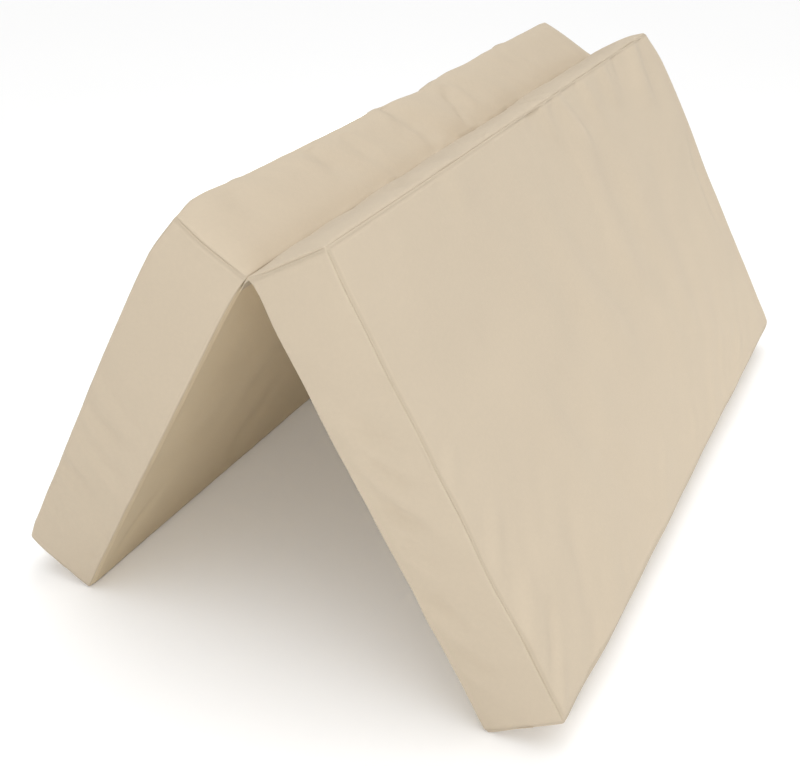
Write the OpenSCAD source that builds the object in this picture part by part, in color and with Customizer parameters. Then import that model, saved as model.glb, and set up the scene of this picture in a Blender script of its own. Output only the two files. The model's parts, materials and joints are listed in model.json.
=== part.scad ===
// Two-part folding futon mattress, standing like a tent on the foot edges of its halves.
// Each half is a foam block in a sewn cover with a zip along its foot side.
// The halves are joined by a fabric tape along the top inner edges, which is the ridge.
// The ridge runs along Y. The origin is on the floor, midway between the two foot edges.

/* [Halves] */
// Length of each half, from the ridge to the foot, in mm
half_length = 700; // [500:10:1000]
// Width of each half, along the ridge
half_width = 1370; // [900:10:2000]
// Thickness of each half, cover included
half_thickness = 130; // [90:5:200]
// Angle between the two inner faces as the mattress stands
tent_angle = 59; // [45:1:80]

/* [Cover] */
// Thickness of the cover fabric, with its backing
fabric_thickness = 1; // [0.6:0.1:1.5]
// Distance from the hinge line to the blocks' faces and hinge sides
hinge_gap = 1.5; // [1.2:0.1:3]
// How far the hinge tape reaches down each inner face
hinge_tape_reach = 25; // [15:1:40]
// Thickness of the hinge tape
hinge_tape_thickness = 1; // [0.5:0.1:1]

/* [Zip] */
// Length of the zip, between its two stops
zip_length = 1270; // [800:10:1800]
// Width of the opening in the foot side that shows the zip
zip_opening = 12; // [11:0.5:16]
// Width of one zip tape
zip_tape_width = 14; // [12:1:20]
// Thickness of a zip tape
zip_tape_thickness = 0.8; // [0.5:0.1:1]
// Width of the closed coil
coil_width = 3.6; // [3:0.2:4]
// Length of the slider
slider_length = 12; // [10:0.5:14]
// Length of the pull, from its pivot to its tip
pull_length = 24; // [20:1:26]

/* [Hidden] */

cover_colour = [0.83, 0.76, 0.66];
foam_colour = [0.95, 0.93, 0.84];
zip_tape_colour = [0.76, 0.69, 0.58];
coil_colour = [0.70, 0.63, 0.52];
metal_colour = [0.62, 0.58, 0.50];

// In a half's own frame x runs from the hinge line down to the foot, y along the ridge
// and z out from the inner face. The hinge line is the y axis.
half_angle = tent_angle / 2;
hinge_side = hinge_gap;
foot_side = hinge_gap + half_length;
inner_side = hinge_gap;
outer_side = hinge_gap + half_thickness;
end_side = half_width / 2;
ridge_height = foot_side * cos(half_angle) - inner_side * sin(half_angle);

zip_line = hinge_gap + half_thickness / 2;
tape_surface = foot_side - fabric_thickness;
coil_rise = 0.8;
coil_depth = 1.2;
foam_foot_clearance = 2;
stop_length = 4;
stop_reach = 3;
stop_rise = 1;

slider_plate = 1.2;
slider_clearance = 0.5;
slider_half_width = 4.5;
slider_flange = 1.2;
bridge_half_width = 1;
bridge_half_length = 3.4;
bridge_post = 1.4;
bridge_opening = 2.2;
bridge_bar = 1.2;
plate_top = slider_clearance + slider_plate;
pivot_rise = plate_top + bridge_opening / 2;
slider_place = zip_length / 2 - slider_length / 2 - slider_clearance;

pull_wire = 0.6;
pull_arm_inner = 1.4;
pull_arm_width = 1;
pull_eye = 5;
pull_half_width = 3.5;
pull_hole = 1.3;
pull_hole_place = 19.5;
round_steps = 48;

// Puts a half's own frame in its place: the right half leans out to +x, the left is its mirror.
module place_half(side) {
    mirror([side == "left" ? 1 : 0, 0, 0])
        translate([0, 0, ridge_height])
            rotate([0, 90 - half_angle, 0])
                children();
}

// A flat-sided piece between two corners.
module slab(low, high) {
    translate(low)
        cube(high - low);
}

module foam_core(side) {
    color(foam_colour)
        place_half(side)
            slab(
                [hinge_side + fabric_thickness, -end_side + fabric_thickness,
                    inner_side + fabric_thickness],
                [tape_surface - foam_foot_clearance, end_side - fabric_thickness,
                    outer_side - fabric_thickness]
            );
}

module cover_outer_face(side) {
    color(cover_colour)
        place_half(side)
            slab([hinge_side, -end_side, outer_side - fabric_thickness],
                [foot_side, end_side, outer_side]);
}

module cover_inner_face(side) {
    color(cover_colour)
        place_half(side)
            slab([hinge_side, -end_side, inner_side],
                [foot_side, end_side, inner_side + fabric_thickness]);
}

// The strip over one end of the block, which is the near end when end is -1.
module boxing_end(side, end) {
    low_y = end < 0 ? -end_side : end_side - fabric_thickness;
    color(cover_colour)
        place_half(side)
            slab([hinge_side, low_y, inner_side + fabric_thickness],
                [foot_side, low_y + fabric_thickness, outer_side - fabric_thickness]);
}

module boxing_hinge_side(side) {
    color(cover_colour)
        place_half(side)
            slab(
                [hinge_side, -end_side + fabric_thickness, inner_side + fabric_thickness],
                [hinge_side + fabric_thickness, end_side - fabric_thickness,
                    outer_side - fabric_thickness]
            );
}

// The foot side's strip between the zip and the outer face.
module boxing_foot_outer(side) {
    color(cover_colour)
        place_half(side)
            slab(
                [tape_surface, -end_side + fabric_thickness, zip_line + zip_opening / 2],
                [foot_side, end_side - fabric_thickness, outer_side - fabric_thickness]
            );
}

// The foot side's strip between the zip and the inner face.
module boxing_foot_inner(side) {
    color(cover_colour)
        place_half(side)
            slab(
                [tape_surface, -end_side + fabric_thickness, inner_side + fabric_thickness],
                [foot_side, end_side - fabric_thickness, zip_line - zip_opening / 2]
            );
}

// One zip tape, behind the boxing: across is 1 for the outer one and -1 for the inner one.
module zip_tape(side, across) {
    near_edge = zip_line + across * coil_width / 2;
    far_edge = near_edge + across * zip_tape_width;
    color(zip_tape_colour)
        place_half(side)
            slab(
                [tape_surface - zip_tape_thickness, -end_side + fabric_thickness,
                    min(near_edge, far_edge)],
                [tape_surface, end_side - fabric_thickness, max(near_edge, far_edge)]
            );
}

module zip_coil(side) {
    color(coil_colour)
        place_half(side)
            slab([tape_surface - coil_depth, -zip_length / 2, zip_line - coil_width / 2],
                [tape_surface + coil_rise, zip_length / 2, zip_line + coil_width / 2]);
}

// The two clamps, one on each tape, that stop the slider where the zip is closed.
module zip_stops_closed_end(side) {
    color(metal_colour)
        place_half(side)
            for (across = [-1, 1])
                translate([tape_surface, zip_length / 2, zip_line])
                    slab([0, 0, across < 0 ? -stop_reach : 0.2],
                        [stop_rise, stop_length, across < 0 ? -0.2 : stop_reach]);
}

// The box that joins both tapes where the zip is fully open.
module zip_box_open_end(side) {
    color(metal_colour)
        place_half(side)
            translate([tape_surface, -zip_length / 2 - stop_length, zip_line])
                slab([0, 0, -stop_reach], [stop_rise, stop_length, stop_reach]);
}

// The slider's upper shell: a channel over the coil, with the bridge that holds the pull.
module zip_slider(side) {
    color(metal_colour)
        place_half(side)
            translate([foot_side, slider_place, zip_line]) {
                slab([slider_clearance, -slider_length / 2, -slider_half_width],
                    [plate_top, slider_length / 2, slider_half_width]);
                for (low = [-slider_half_width, slider_half_width - slider_flange])
                    slab([slider_clearance - fabric_thickness, -slider_length / 2, low],
                        [slider_clearance, slider_length / 2, low + slider_flange]);
                for (low = [-bridge_half_length, bridge_half_length - bridge_post])
                    slab([plate_top, low, -bridge_half_width],
                        [plate_top + bridge_opening, low + bridge_post, bridge_half_width]);
                slab([plate_top + bridge_opening, -bridge_half_length, -bridge_half_width],
                    [plate_top + bridge_opening + bridge_bar, bridge_half_length,
                        bridge_half_width]);
            }
}

// The pull hangs from the bridge: a cross wire, two arms past the bridge and a round-ended tab.
module zip_pull(side) {
    arm_outer = pull_arm_inner + pull_arm_width;
    color(metal_colour)
        place_half(side)
            translate([foot_side + pivot_rise, slider_place, zip_line]) {
                cylinder(r = pull_wire, h = 2 * pull_arm_inner, center = true, $fn = round_steps);
                for (low = [-arm_outer, pull_arm_inner])
                    slab([-pull_wire, -pull_wire, low],
                        [pull_eye, pull_wire, low + pull_arm_width]);
                difference() {
                    union() {
                        slab([pull_eye, -pull_wire, -pull_half_width],
                            [pull_length - pull_half_width, pull_wire, pull_half_width]);
                        translate([pull_length - pull_half_width, 0, 0])
                            rotate([90, 0, 0])
                                cylinder(r = pull_half_width, h = 2 * pull_wire, center = true,
                                    $fn = round_steps);
                    }
                    translate([pull_hole_place, 0, 0])
                        rotate([90, 0, 0])
                            cylinder(r = pull_hole, h = 4 * pull_wire, center = true,
                                $fn = round_steps);
                }
            }
}

// Half of the tape that joins the halves: it stops just short of the hinge line.
module hinge_tape(side) {
    tape_start = hinge_gap - hinge_tape_thickness;
    color(cover_colour)
        place_half(side)
            slab([tape_start, -end_side, inner_side - hinge_tape_thickness],
                [hinge_tape_reach, end_side, inner_side]);
}

foam_core("left");  // foam_core_left
cover_outer_face("left");  // cover_outer_face_left
cover_inner_face("left");  // cover_inner_face_left
boxing_end("left", -1);  // boxing_near_end_left
boxing_end("left", 1);  // boxing_far_end_left
boxing_hinge_side("left");  // boxing_hinge_side_left
boxing_foot_outer("left");  // boxing_foot_outer_left
boxing_foot_inner("left");  // boxing_foot_inner_left
zip_tape("left", 1);  // zip_tape_outer_left
zip_tape("left", -1);  // zip_tape_inner_left
zip_coil("left");  // zip_coil_left
zip_stops_closed_end("left");  // zip_stops_closed_end_left
zip_box_open_end("left");  // zip_box_open_end_left
zip_slider("left");  // zip_slider_left
zip_pull("left");  // zip_pull_left
hinge_tape("left");  // hinge_tape_left
foam_core("right");  // foam_core_right
cover_outer_face("right");  // cover_outer_face_right
cover_inner_face("right");  // cover_inner_face_right
boxing_end("right", -1);  // boxing_near_end_right
boxing_end("right", 1);  // boxing_far_end_right
boxing_hinge_side("right");  // boxing_hinge_side_right
boxing_foot_outer("right");  // boxing_foot_outer_right
boxing_foot_inner("right");  // boxing_foot_inner_right
zip_tape("right", 1);  // zip_tape_outer_right
zip_tape("right", -1);  // zip_tape_inner_right
zip_coil("right");  // zip_coil_right
zip_stops_closed_end("right");  // zip_stops_closed_end_right
zip_box_open_end("right");  // zip_box_open_end_right
zip_slider("right");  // zip_slider_right
zip_pull("right");  // zip_pull_right
hinge_tape("right");  // hinge_tape_right
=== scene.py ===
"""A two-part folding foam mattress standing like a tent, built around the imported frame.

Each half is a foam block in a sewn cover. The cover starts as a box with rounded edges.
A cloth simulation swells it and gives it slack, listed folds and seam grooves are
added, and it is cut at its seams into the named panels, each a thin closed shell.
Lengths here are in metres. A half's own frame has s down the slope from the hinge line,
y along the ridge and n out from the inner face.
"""

import json
import math

import bpy
import numpy as np
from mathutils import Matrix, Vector


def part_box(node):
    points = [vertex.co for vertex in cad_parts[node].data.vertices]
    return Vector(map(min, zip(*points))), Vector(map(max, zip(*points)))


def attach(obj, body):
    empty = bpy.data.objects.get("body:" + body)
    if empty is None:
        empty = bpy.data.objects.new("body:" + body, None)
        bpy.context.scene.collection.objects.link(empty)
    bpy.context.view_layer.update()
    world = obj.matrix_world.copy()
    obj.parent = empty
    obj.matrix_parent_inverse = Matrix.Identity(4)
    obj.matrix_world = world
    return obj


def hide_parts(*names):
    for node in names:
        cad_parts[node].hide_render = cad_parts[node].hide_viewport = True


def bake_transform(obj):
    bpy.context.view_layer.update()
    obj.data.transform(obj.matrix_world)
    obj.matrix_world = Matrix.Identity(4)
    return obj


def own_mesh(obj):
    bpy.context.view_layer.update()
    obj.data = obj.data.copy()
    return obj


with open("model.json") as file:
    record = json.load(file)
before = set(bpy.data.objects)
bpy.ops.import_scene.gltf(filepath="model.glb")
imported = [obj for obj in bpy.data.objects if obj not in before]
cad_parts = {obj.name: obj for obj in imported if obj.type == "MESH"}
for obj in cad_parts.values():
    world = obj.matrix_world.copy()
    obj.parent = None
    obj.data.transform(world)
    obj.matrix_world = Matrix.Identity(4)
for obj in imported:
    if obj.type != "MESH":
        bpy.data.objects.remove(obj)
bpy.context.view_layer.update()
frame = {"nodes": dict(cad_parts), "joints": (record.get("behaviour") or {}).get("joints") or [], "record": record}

MM = 0.001
S, Y, N = 0, 1, 2
OTHER_AXES = {S: (Y, N), Y: (S, N), N: (S, Y)}
SIDES = ("left", "right")
JOINTS = {joint["name"]: joint for joint in frame["joints"]}

# --- sizes of the sewn cover ---
FABRIC = 1.0 * MM
EDGE_RADIUS = 6.0 * MM
HINGE_RADIUS = 1.6 * MM
HINGE_RADIUS_SPREAD = 45 * MM
GRID_STEP = 8.0 * MM
SEAM_LINES = np.array(
    [0, 0.6, 1.3, 2.2, 3.2, 4.6, 6.0, 6.9, 7.8, 8.8, 10, 11.5, 13.5, 16, 19.5, 24, 29.5, 36]
) * MM
ZIP_LINES = np.array([0, 0.4, 0.9, 1.6, 2.6, 3.8, 5.0, 6.2, 8.0, 11.0]) * MM
STITCH_LINE = 6.0 * MM
ZIP_STITCH_LINE = 5.0 * MM
STITCH_PITCH = 4.0 * MM
STITCH_LENGTH = 3.0 * MM
STITCH_RADIUS = 0.28 * MM
STITCH_INSET = 6 * MM
# A stitch's cross-section is square, and it dips into the cloth at its ends.
STITCH_TURNS = (0.25, 0.75, 1.25, 1.75)
STITCH_DIP, STITCH_RISE, STITCH_SHOULDER = 0.9, 0.45, 0.3
ZIP_END = 654 * MM
ZIP_END_CURVE = 14 * MM

# Height of the cover beside a seam, against distance from it: a plain side drops sharply
# to the seam, and a banded side has a sunk band that ends in a low rim.
PLAIN_SIDE = (
    np.array([0, 1.0, 2.2, 3.6, 5.5, 9.0, 14.0]) * MM,
    np.array([-1.6, -1.05, -0.3, 0.1, 0.28, 0.15, 0]) * MM,
)
BAND_SIDE = (
    np.array([0, 1.2, 2.6, 6.0, 7.6, 9.4, 11.5, 15.0, 22.0]) * MM,
    np.array([-1.6, -1.35, -1.2, -1.05, -0.55, 0.1, 0.38, 0.18, 0]) * MM,
)
GROOVE_DEPTH = 1.6 * MM
# The painted shade in the seams is no darker than this share of their full depth would make it.
SEAM_SHADE_LIMIT = 0.7
# The grooves grow shallow where they come to the hinge line.
HINGE_SEAM_SHARE = 0.15
HINGE_SEAM_FADE = 18 * MM
# The seam between the hinge side and the outer face is pulled less deep than the others.
RIDGE_SEAM_SHARE = 0.5
RIDGE_SEAM_FADE = 14 * MM
ZIP_SIDE = (
    np.array([0, 0.4, 0.9, 1.6, 3.8, 5.0, 6.2]) * MM,
    np.array([-0.6, -0.25, -0.05, 0, 0, -0.12, 0]) * MM,
)

# --- cloth simulation ---
SIM_STEP = 14 * MM
SIM_FRAMES = 20
SIM_SHARE = 0.5
SIM_CAP = 3.0 * MM
# The cover starts a little inside its base shape, and uneven by this many mm, so that it buckles.
SIM_START_DEPTH = 1.0 * MM
SIM_START_NOISE = 0.6
CLOTH = {
    "quality": 5, "mass": 0.3, "tension_stiffness": 20, "compression_stiffness": 20,
    "shear_stiffness": 8, "bending_stiffness": 40, "air_damping": 2, "use_pressure": True,
    "uniform_pressure_force": 0.4, "shrink_min": -0.004, "shrink_max": -0.004, "pin_stiffness": 6,
}


def smoothstep(x):
    x = np.clip(x, 0, 1)
    return x * x * (3 - 2 * x)


# --- a half's own frame ---
class Half:
    """One half of the mattress: its own frame, and the sizes of its block."""

    def __init__(self, side):
        self.side = side
        self.body = f"{side}_half"
        self.sign = 1 if side == "right" else -1
        self.out = np.array(JOINTS[f"{side}_zip_pull_swing"]["axis"], float)
        self.out /= np.linalg.norm(self.out)
        self.sine, self.cosine = self.out[2], abs(self.out[0])
        self.down = np.array([self.sign * self.sine, 0, -self.cosine])
        self.hinge = np.array(JOINTS["fold"]["pos_m"], float)
        self.axes = np.array([self.down, [0, 1, 0], self.out])
        outer = self.node_box(f"cover_outer_face_{side}")
        inner = self.node_box(f"cover_inner_face_{side}")
        self.low = inner[0]
        self.high = outer[1]
        self.zip_low = self.node_box(f"boxing_foot_inner_{side}")[1][N]
        self.zip_high = self.node_box(f"boxing_foot_outer_{side}")[0][N]
        self.zip_middle = (self.zip_low + self.zip_high) / 2
        self.tape_surface = self.node_box(f"zip_tape_outer_{side}")[1][S]

    def node_box(self, node):
        """Lowest and highest corner, in the half's own frame, of a node that is square to it."""
        low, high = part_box(node)
        reach = (low.x, high.x) if self.sign > 0 else (-high.x, -low.x)
        rise = (low.z - self.hinge[2], high.z - self.hinge[2])
        sine, cosine = self.sine, self.cosine
        # unknowns: lowest s, highest s, lowest n, highest n
        rows = [[sine, 0, cosine, 0], [0, -cosine, sine, 0], [0, sine, 0, cosine], [-cosine, 0, 0, sine]]
        s0, s1, n0, n1 = np.linalg.solve(rows, [reach[0], rise[0], reach[1], rise[1]])
        return np.array([s0, low.y, n0]), np.array([s1, high.y, n1])

    def to_world(self, points):
        return self.hinge + np.asarray(points) @ self.axes

    def turn(self, directions):
        return np.asarray(directions) @ self.axes


# --- numbers ---
# Random values are drawn this far out, because blending them draws them in.
NOISE_RANGE = 1.6


def spline_weights(places, step, count):
    """Rows that blend `count` values, `step` apart, into a smooth curve at each of the places."""
    at = np.clip(places / step, 0, count - 1 - 1e-9)
    cell = np.floor(at).astype(int)
    t = at - cell
    parts = ((1 - t) ** 3, 3 * t**3 - 6 * t**2 + 4, -3 * t**3 + 3 * t**2 + 3 * t + 1, t**3)
    weights = np.zeros((len(places), count))
    rows = np.arange(len(places))
    for offset, part in zip((-1, 0, 1, 2), parts):
        np.add.at(weights, (rows, np.clip(cell + offset, 0, count - 1)), part / 6)
    return weights


def smooth_noise(a, b, step_a, step_b, seed):
    """A smooth random field between about -1 and 1 over the lines a and b."""
    count_a = int(np.ptp(a) / step_a) + 3
    count_b = int(np.ptp(b) / step_b) + 3
    values = np.random.RandomState(seed).uniform(-NOISE_RANGE, NOISE_RANGE, (count_a, count_b))
    first = spline_weights(a - a.min() + step_a / 2, step_a, count_a)
    second = spline_weights(b - b.min() + step_b / 2, step_b, count_b)
    return first @ values @ second.T


def streaks(a, b, angle, length, width, seed):
    """Soft random ridges, `length` long and `width` wide, that run at an angle to the a direction."""
    turn = math.radians(angle)
    along = a * math.cos(turn) + b * math.sin(turn)
    across = b * math.cos(turn) - a * math.sin(turn)
    weights = []
    for place, step in ((along, length), (across, width)):
        count = int(np.ptp(place) / step) + 3
        weights.append(spline_weights(place.ravel() - place.min() + step / 2, step, count))
    first, second = weights
    shape = first.shape[1], second.shape[1]
    heights = np.random.RandomState(seed).uniform(-NOISE_RANGE, NOISE_RANGE, shape)
    return np.sum((first @ heights) * second, axis=1).reshape(a.shape)


def graded(low, high, near=SEAM_LINES, far=SEAM_LINES, step=GRID_STEP):
    """Grid lines from low to high, close together beside both ends and `step` apart between."""
    first, last = low + near, high - far[::-1]
    count = max(1, math.ceil((last[0] - first[-1]) / step))
    middle = np.linspace(first[-1], last[0], count + 1)[1:-1]
    return np.concatenate([first, middle, last])


# --- shape of the block ---
def rounded(half, points):
    """Points of the sharp box moved onto its rounded edges, and the direction each faces."""
    from_hinge = np.hypot(points[..., S] - half.low[S], points[..., N] - half.low[N])
    spread = smoothstep(from_hinge / HINGE_RADIUS_SPREAD)[..., None]
    radius = HINGE_RADIUS + (EDGE_RADIUS - HINGE_RADIUS) * spread
    core = np.clip(points, half.low + radius, half.high - radius)
    away = points - core
    facing = away / np.linalg.norm(away, axis=-1, keepdims=True)
    return core + facing * radius, facing


# How each corner of the block is pushed out of place. A corner is (down the slope, along y, out),
# each 0 for the low end and 1 for the high one. The push is (s, y, n, reach) in mm.
CORNERS = {
    "left": {
        (0, 0, 1): (0, 8, -8, 70), (0, 1, 1): (1, -1, -1, 45), (1, 0, 1): (-2, 2, -2, 40),
        (1, 1, 1): (-2, -2, -2, 40), (1, 0, 0): (-1.4, 1.4, 1.4, 30), (1, 1, 0): (-1.4, -1.4, 1.4, 30),
    },
    "right": {
        (0, 0, 1): (0.3, 2, -2, 50), (0, 1, 1): (0, -14, -4, 70), (1, 0, 1): (-1, 1, -1, 26),
        (1, 1, 1): (-1.5, -1.5, -1.5, 30), (1, 0, 0): (-1.4, 1.4, 1.4, 32), (1, 1, 0): (-1.7, -1.7, 1.7, 30),
    },
}

# The end panels lean in a little at the ridge: how far at the near and far end, and over what distance.
END_LEAN = (8 * MM, -2 * MM)
END_LEAN_REACH = 48 * MM
# Beside the hinge line the two halves are drawn together.
HINGE_CLOSE = 1.2 * MM
HINGE_CLOSE_REACH = 9 * MM

# Broad swellings of a half's outer side: (s, y, spread in s, spread in y, height) in mm.
SWELLS = {
    "left": [
        (0, -125, 60, 34, 1.5), (0, 35, 75, 80, -8.0), (0, 240, 60, 60, -2.0),
        (0, 330, 90, 120, 1.5), (0, -600, 110, 62, 6.0), (350, -60, 200, 330, 2.0),
        (350, -685, 300, 220, 6.0),
    ],
    "right": [
        (170, 640, 150, 160, 8.0), (700, -150, 120, 120, 2.0), (700, -440, 130, 150, 4.0),
        (694, -610, 90, 75, -3.6), (0, 40, 45, 60, 2.4), (0, 190, 45, 55, -2.2),
        (0, 330, 60, 60, 2.0), (0, -330, 60, 120, 1.4), (380, -80, 210, 330, 3.0),
    ],
}

# Long soft waves of the seams: wavelength along y and s in mm, and height in mm.
WAVES = ((520, 430, 0.9), (290, 260, 0.7), (170, 150, 0.45))
END_WAVE_LENGTH = 210
WAVE_PHASES = {"left": (0.4, 2.1, 4.4), "right": (3.3, 0.9, 5.2)}


def drift(half, points):
    """The soft drift of the whole cover, as it sags, swells and is pressed in at its corners."""
    s, y, n = points[..., S], points[..., Y], points[..., N]
    size = half.high - half.low
    down, out = (s - half.low[S]) / size[S], (n - half.low[N]) / size[N]
    moved = np.zeros(points.shape)
    wave, end_wave = np.zeros(s.shape), np.zeros(s.shape)
    turn = 2 * math.pi / MM
    for (along, across, height), phase in zip(WAVES, WAVE_PHASES[half.side]):
        wave += height * MM * np.sin(turn * y / along + phase) * np.cos(turn * s / across + phase)
        end_ripple = np.cos(turn * n / END_WAVE_LENGTH + phase)
        end_wave += height * MM * np.sin(turn * s / across + 2 * phase) * end_ripple
    for s0, y0, wide, tall, height in SWELLS[half.side]:
        reach = ((s / MM - s0) / wide) ** 2 + ((y / MM - y0) / tall) ** 2
        wave += height * MM * np.exp(-reach)
    # The outer side takes the waves and swellings whole, and the inner side not at all.
    moved[..., N] += wave * smoothstep(out * 1.1)
    # Each end panel waves on its own, over the last quarter of the width and away from the ridge.
    to_end = smoothstep(np.abs(y) / size[Y] * 4 - 1)
    moved[..., Y] += end_wave * smoothstep(down * 4) * np.sign(y) * to_end
    near_ridge = np.exp(-(((s - half.low[S]) / END_LEAN_REACH) ** 2))
    along = (y - half.low[Y]) / size[Y]
    near, far = END_LEAN
    moved[..., Y] += near_ridge * (near * smoothstep(1 - 8 * along) + far * smoothstep(8 * along - 7))
    from_hinge = (s - half.low[S]) ** 2 + (n - half.low[N]) ** 2
    close = HINGE_CLOSE * np.exp(-(from_hinge / HINGE_CLOSE_REACH**2))
    moved[..., S] -= close
    moved[..., N] -= close
    for place, (*push, reach) in CORNERS[half.side].items():
        corner = half.low + size * np.array(place)
        distance = np.linalg.norm(points - corner, axis=-1) / (reach * MM)
        moved += np.clip(1 - distance, 0, 1)[..., None] ** 1.5 * np.array(push) * MM
    return moved


# How far each panel swells out in its middle, in mm, and how the swelling rounds off at its edges.
CROWNS = {
    "cover_outer_face": 2.8, "cover_inner_face": -1.6, "boxing_hinge_side": 10.0,
    "boxing_near_end": 2.4, "boxing_far_end": 2.8, "boxing_foot_outer": 0.8, "boxing_foot_inner": 0.6,
}
CROWN_SHOULDER = 110 * MM
CROWN_FULLNESS = 2.6
HINGE_SIDE_FULLNESS = 3.8


def crown(a, b, height, fullness=CROWN_FULLNESS):
    """A low dome over the lines a and b: level in the middle, rounding down to nothing at the ends."""
    shapes = []
    for line in (a, b):
        to_end = np.minimum(line - line.min(), line.max() - line)
        rise = np.clip(to_end / min(CROWN_SHOULDER, np.ptp(line) / 2), 0, 1)
        shapes.append(1 - (1 - rise) ** fullness)
    return height * MM * np.outer(*shapes)


# Folds: (a0, b0, a1, b1, half-width, height) in mm, from one point of the panel to another.
# On the faces a is s and b is y. On the ends a is s and b is n. On the hinge side a is y and b is n.
FOLDS = {
    ("right", "cover_outer_face"): [
        (70, -150, 490, -40, 34, 2.4), (20, 120, 430, 112, 30, 2.2), (150, 268, 420, 255, 26, 1.5),
        (60, -60, 400, 20, 30, -1.2), (2, -350, 75, -322, 17, 1.5), (2, -8, 110, 12, 14, -2.1),
        (2, 38, 95, 52, 13, 2.2), (2, 108, 150, 182, 15, 2.8), (2, 235, 80, 262, 13, 2.0),
        (2, 345, 105, 362, 15, 2.3), (2, 440, 90, 430, 13, -1.8), (2, 540, 140, 486, 17, 2.4),
        (2, 610, 190, 560, 20, -1.8), (200, 655, 490, 610, 13, -1.6), (575, 395, 694, 250, 8, 1.0),
        (600, 450, 694, 315, 7, -0.9), (610, 515, 694, 357, 8, 0.9), (605, 118, 694, 35, 9, 0.9),
        (590, -50, 694, -195, 10, 0.9), (385, -596, 494, -668, 11, 1.5), (490, -596, 600, -676, 12, 1.8),
        (550, -582, 650, -655, 10, -1.7), (515, -470, 690, -566, 15, 1.2), (630, -330, 694, -385, 10, 0.9),
        (610, -606, 694, -680, 9, 1.9), (290, -622, 345, -672, 9, 1.2), (640, -500, 694, -545, 9, -0.8),
    ],
    ("right", "boxing_near_end"): [
        (200, 40, 275, 92, 9, -1.7), (250, 30, 335, 92, 9, -2.3), (322, 20, 388, 88, 9, -2.1),
        (384, 20, 446, 78, 9, -1.8), (470, 18, 530, 74, 9, -1.8), (550, 6, 618, 76, 10, -1.5),
        (290, 24, 362, 92, 10, 1.3), (430, 14, 492, 74, 10, 1.0),
    ],
    ("left", "boxing_near_end"): [
        (374, 122, 392, 30, 9, -0.9), (430, 120, 456, 36, 9, -1.0), (493, 122, 515, 44, 9, -1.0),
        (545, 124, 566, 56, 8, -0.8), (404, 118, 424, 40, 9, 0.7), (614, 10, 640, 30, 5, -0.9),
    ],
    ("left", "boxing_hinge_side"): [
        (-97, 128, -97, 50, 13, -2.9), (-98, 70, -78, 6, 12, -2.3), (98, 110, 48, 55, 11, -1.6),
        (54, 64, 26, 8, 10, -1.3), (116, 104, 104, 22, 10, 0.9), (-354, 112, -346, 34, 13, -1.0),
        (-262, 106, -260, 44, 11, -0.9), (420, 118, 446, 40, 14, -0.9), (-560, 110, -590, 60, 12, -0.7),
    ],
    ("right", "boxing_hinge_side"): [
        (-180, 120, -200, 50, 11, -1.2), (60, 124, 30, 40, 12, -1.6), (260, 122, 250, 60, 11, -1.3),
        (470, 120, 500, 50, 12, -1.2), (-430, 120, -420, 60, 12, -1.0),
    ],
    ("left", "cover_outer_face"): [
        (2, -520, 260, -470, 24, 1.8), (2, -100, 150, -70, 13, 1.8), (2, 60, 190, 40, 15, 1.7),
        (2, 250, 120, 280, 12, -1.5), (2, 420, 240, 380, 20, 1.7), (120, -260, 470, -180, 32, 2.0),
        (150, 180, 500, 120, 30, 2.0), (560, 560, 694, 640, 12, 1.6), (590, 380, 694, 450, 10, 1.2),
        (600, 100, 694, 150, 10, -1.0), (600, -210, 694, -270, 10, 1.1), (540, -560, 694, -650, 12, 1.7),
        (610, -420, 694, -480, 9, -1.0), (300, 620, 420, 666, 11, 1.3), (260, -610, 400, -666, 11, -1.3),
    ],
    ("left", "boxing_far_end"): [
        (120, 100, 190, 40, 11, -1.2), (260, 105, 320, 36, 10, -1.1), (410, 104, 470, 38, 10, 1.0),
        (520, 100, 590, 36, 10, -1.0),
    ],
    ("right", "boxing_far_end"): [
        (90, 104, 150, 40, 11, 1.2), (230, 100, 300, 36, 10, -1.2), (360, 102, 420, 40, 10, -1.0),
        (500, 100, 560, 36, 10, 1.1), (600, 96, 650, 40, 9, -0.9),
    ],
    ("left", "cover_inner_face"): [
        (60, -400, 300, -360, 24, -1.2), (100, 60, 420, 20, 26, -1.1), (500, -560, 690, -650, 12, -1.2),
        (540, 500, 690, 610, 12, -1.2), (2, 380, 140, 360, 14, -1.1),
    ],
    ("right", "cover_inner_face"): [
        (80, -240, 330, -200, 24, -1.2), (140, 300, 440, 260, 26, -1.1), (520, -520, 690, -640, 12, -1.2),
        (560, 420, 690, 560, 12, -1.2), (2, -60, 150, -40, 14, -1.1),
    ],
}
# A fold that starts this near a seam, in mm, runs into it.
SEAM_REACH = 8.0
FOLD_SCALE = 2.5
FOLD_SPREAD = 1.4
# A fold runs in a slight arc, and has a shallow hollow on one side.
FOLD_ARC = 0.05
FOLD_HOLLOW = 0.35

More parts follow.
